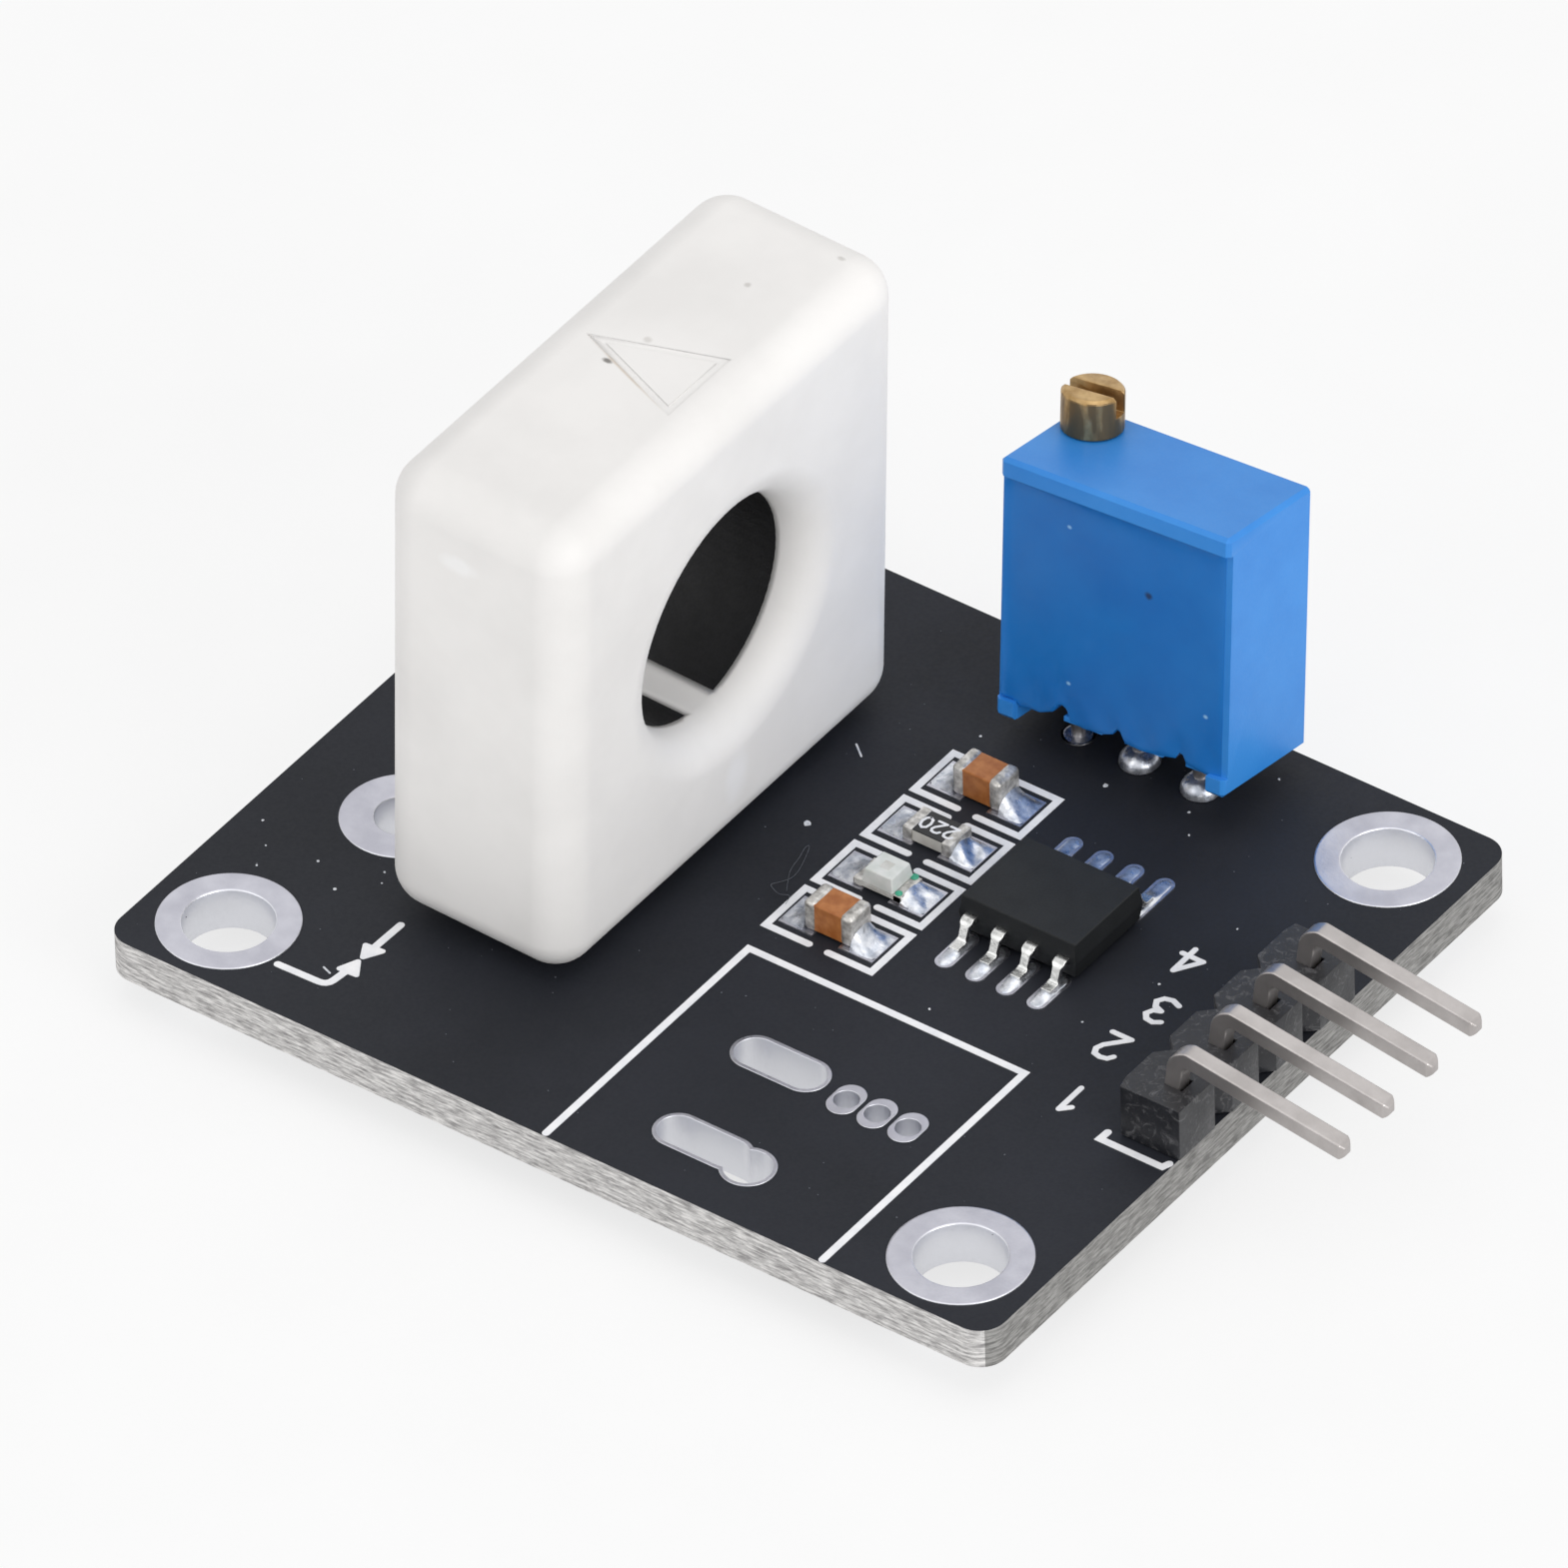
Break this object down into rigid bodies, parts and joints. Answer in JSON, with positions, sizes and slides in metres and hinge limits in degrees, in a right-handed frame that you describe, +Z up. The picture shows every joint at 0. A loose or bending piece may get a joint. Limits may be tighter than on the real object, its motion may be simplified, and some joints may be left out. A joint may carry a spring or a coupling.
{
  "type": "hall effect current sensor",
  "caption": "Current sensor module: square sensor block with a conductor hole on a circuit board, with amplifier, multi-turn trimmer and right-angle pin header.",
  "frame": {"origin": "centre of the rectangular pattern of mounting holes, at the underside of the board", "axes": "+Z up from the board towards the sensor block's top, +X towards the edge with the pin header, +Y towards the trimmer's edge"},
  "size_m": [0.0428, 0.0319, 0.0227],
  "materials": {
    "glass_fibre_board_black_mask": "satin black solder mask, bare glass fibre at the edges",
    "tinned_copper": "hot-tinned, slightly uneven",
    "solder": "reflowed solder",
    "white_moulded_plastic": "fine moulded, satin",
    "ferrite": "sintered, dull",
    "black_epoxy_mould": "moulded, dull",
    "tinned_lead": "tin plated",
    "blue_moulded_plastic": "moulded, satin",
    "blue_epoxy_resin": "poured resin",
    "alumina": "fired, dull",
    "resistive_ink": "fired film",
    "silver_ink": "fired film",
    "white_nylon": "moulded",
    "spring_bronze": "rolled strip",
    "turned_brass": "turned, dull",
    "silicone_rubber": "moulded",
    "black_nylon": "moulded, satin",
    "capacitor_ceramic": "fired, satin",
    "resistor_glaze": "glossy coat",
    "clear_resin_lens": "clear moulded resin",
    "white_laminate": "moulded"
  },
  "bodies": {
    "module": {"circuit_board": "glass_fibre_board_black_mask", "mounting_hole_rings": "tinned_copper", "post_hole_ring": "tinned_copper", "terminal_slot_linings": "tinned_copper", "signal_hole_pads": "tinned_copper", "hall_lead_rings": "tinned_copper", "trimmer_lead_rings": "tinned_copper", "header_pin_rings": "tinned_copper", "chip_part_pads": "tinned_copper", "amplifier_pads": "tinned_copper", "sensor_housing": "white_moulded_plastic", "ferrite_core": "ferrite", "hall_chip": "black_epoxy_mould", "hall_chip_leads": "tinned_lead", "hall_lead_solder": "solder", "header_block": "black_nylon", "header_pins": "tinned_lead", "header_solder": "solder", "capacitor_near_body": "capacitor_ceramic", "capacitor_near_terminals": "tinned_lead", "capacitor_far_body": "capacitor_ceramic", "capacitor_far_terminals": "tinned_lead", "resistor_body": "alumina", "resistor_coat": "resistor_glaze", "resistor_terminals": "tinned_lead", "indicator_base": "white_laminate", "indicator_lens": "clear_resin_lens", "indicator_terminals": "tinned_lead", "amplifier_body": "black_epoxy_mould", "amplifier_leads": "tinned_lead", "trimmer_case": "blue_moulded_plastic", "trimmer_resin": "blue_epoxy_resin", "resistance_element": "alumina", "resistance_track": "resistive_ink", "collector_ring": "silver_ink", "trimmer_leads": "tinned_lead", "trimmer_solder": "solder", "screw_seal": "silicone_rubber"},
    "screw": {"adjusting_screw": "turned_brass"},
    "rotor": {"trimmer_rotor": "white_nylon", "trimmer_wiper": "spring_bronze"}
  },
  "joints": [
    {"name": "adjusting_screw_turn", "type": "hinge", "parent": "module", "child": "screw", "pos_m": [0.00185, 0.01356, 0.00214], "axis": [-0.0756, 0.1685, 0.9828], "range_deg": [-4500, 4500]},
    {"name": "rotor_turn", "type": "hinge", "parent": "module", "child": "rotor", "pos_m": [0.00532, 0.01436, 0.00712], "axis": [0.0129, 0.9857, -0.168], "range_deg": [-136.5, 136.5]}
  ],
  "couplings": [
    {"joint": "rotor_turn", "follows": "adjusting_screw_turn", "ratio": -0.030303}
  ]
}
